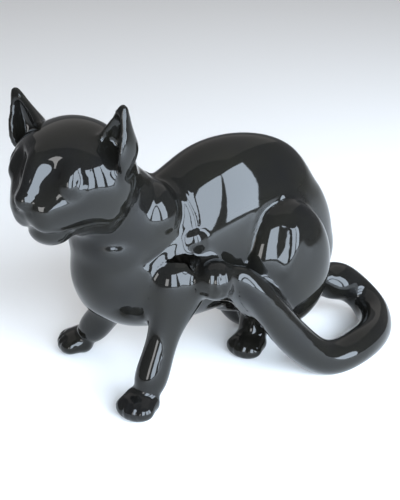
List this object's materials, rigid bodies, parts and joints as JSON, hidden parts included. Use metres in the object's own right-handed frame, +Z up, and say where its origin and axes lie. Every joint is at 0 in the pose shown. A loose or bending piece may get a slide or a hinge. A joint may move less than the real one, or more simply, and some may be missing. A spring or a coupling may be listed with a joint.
{
  "type": "ceramic cat figurine",
  "caption": "Glossy black glazed ceramic cat, seated with head turned, one hind foot raised to the elbow and the tail looped on the table; stands free as an ornament.",
  "frame": {"origin": "on the table surface, under the middle of the cat's outline box", "axes": "+Z up from the table; -X the way the cat's body faces; -Y its left side, with the tail loop"},
  "size_m": [0.3324, 0.1686, 0.2474],
  "materials": {
    "glaze": "high-gloss black glaze, one continuous coat over every casting and joint"
  },
  "bodies": {
    "root": {"torso": "glaze", "head": "glaze", "left_ear": "glaze", "right_ear": "glaze", "left_foreleg": "glaze", "right_foreleg": "glaze", "left_haunch": "glaze", "right_haunch": "glaze", "left_hind_foot": "glaze", "right_hind_foot": "glaze", "tail": "glaze"}
  },
  "joints": []
}
